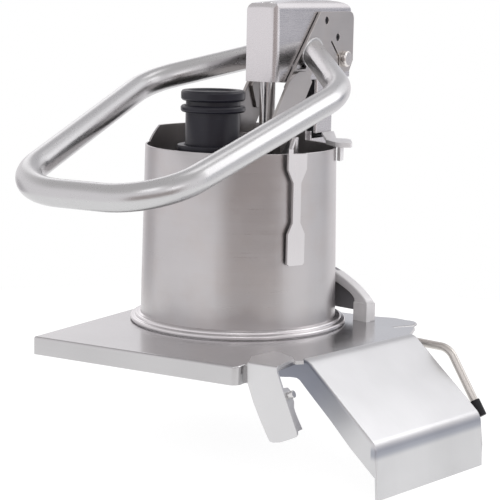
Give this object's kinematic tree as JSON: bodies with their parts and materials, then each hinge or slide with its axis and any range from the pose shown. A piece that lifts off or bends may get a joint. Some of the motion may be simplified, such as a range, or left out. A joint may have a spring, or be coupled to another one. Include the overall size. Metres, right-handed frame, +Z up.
{
  "type": "lever pusher feed head",
  "caption": "Lever-operated feed head for a vegetable preparation machine: stainless hopper on a lid pan with side discharge chute, loop handle, pusher disc and small plunger.",
  "frame": {"origin": "on the axis of the hopper and of the locating spigot under the lid, in the plane of the lid's skirt rim, where the head rests on the machine below", "axes": "+Z up along the hopper axis, -Y toward the operator and the grip of the loop handle, +X to the operator's right, the discharge chute's side"},
  "size_m": [0.3858, 0.482, 0.4319],
  "materials": {
    "steel_lid": "satin-brushed stainless sheet",
    "steel_chute": "satin-brushed stainless sheet, grain down the ramp",
    "steel_hopper": "satin stainless, grain round the hopper",
    "steel_cover": "satin stainless fabrications",
    "steel_brace": "bead-blasted stainless castings and brackets",
    "steel_handle": "polished stainless tube and rod",
    "steel_rod": "drawn stainless rod",
    "steel_plate": "cut stainless plate with a warm cast",
    "steel_strap": "brushed stainless strap",
    "steel_polished": "turned and polished stainless",
    "steel_dark": "dark steel and magnet can",
    "bush_bronze": "sintered bronze bush",
    "plastic_black": "moulded charcoal-black food-grade plastic",
    "plastic_white": "natural acetal",
    "rubber_black": "matt black rubber"
  },
  "bodies": {
    "frame": {"lid_pan": "steel_lid", "discharge_chute": "steel_chute", "hopper_wall": "steel_hopper", "hopper_flange": "steel_hopper", "locating_spigot": "steel_lid", "lid_seal": "rubber_black", "catch_plate": "steel_chute", "catch_pin": "steel_polished", "hopper_column": "steel_cover", "column_saddles": "steel_cover", "side_brace": "steel_brace", "rim_bracket": "steel_brace", "head_leg": "steel_cover", "column_pin": "steel_dark", "head_frame": "steel_cover", "head_cover": "steel_cover", "cover_screws": "steel_polished", "pivot_bushes": "bush_bronze", "rod_bush": "plastic_white", "lock_sleeve": "steel_brace"},
    "lever": {"handle_loop": "steel_handle", "lever_plate_left": "steel_plate", "lever_plate_right": "steel_plate", "push_arm_left": "steel_plate", "push_arm_right": "steel_plate", "pivot_shaft": "steel_polished", "shaft_caps": "steel_polished", "drive_pin": "steel_polished", "drive_rollers": "plastic_white", "pin_washers": "steel_polished", "plate_screws": "steel_dark"},
    "pusher": {"pusher_disc": "plastic_black", "feed_tube": "plastic_black", "pusher_mast": "steel_plate", "guide_rod": "steel_polished", "rod_set_screws": "steel_dark", "mast_screws": "steel_polished", "magnet_strap": "steel_strap", "strap_magnet": "steel_dark"},
    "plunger": {"plunger_body": "plastic_black", "plunger_cap": "plastic_black"},
    "lock_lever": {"lock_rod": "steel_rod", "lock_rod_tip": "rubber_black", "lock_collar": "steel_polished", "lock_cam": "steel_brace"}
  },
  "joints": [
    {"name": "handle_lift", "type": "hinge", "parent": "frame", "child": "lever", "pos_m": [0, 0.178, 0.274], "axis": [-1, 0, 0], "range_deg": [0, 50]},
    {"name": "pusher_rise", "type": "slide", "parent": "frame", "child": "pusher", "axis": [0, 0, 1], "range_m": [0, 0.15]},
    {"name": "plunger_pull", "type": "slide", "parent": "pusher", "child": "plunger", "axis": [0, 0, 1], "range_m": [0, 0.19]},
    {"name": "lock_turn", "type": "hinge", "parent": "frame", "child": "lock_lever", "pos_m": [0.15399, 0.0511, 0.0073], "axis": [0.9781, -0.2079, 0], "range_deg": [0, 75]}
  ],
  "couplings": [
    {"joint": "pusher_rise", "follows": "handle_lift", "m_per_rad": 0.1696}
  ]
}
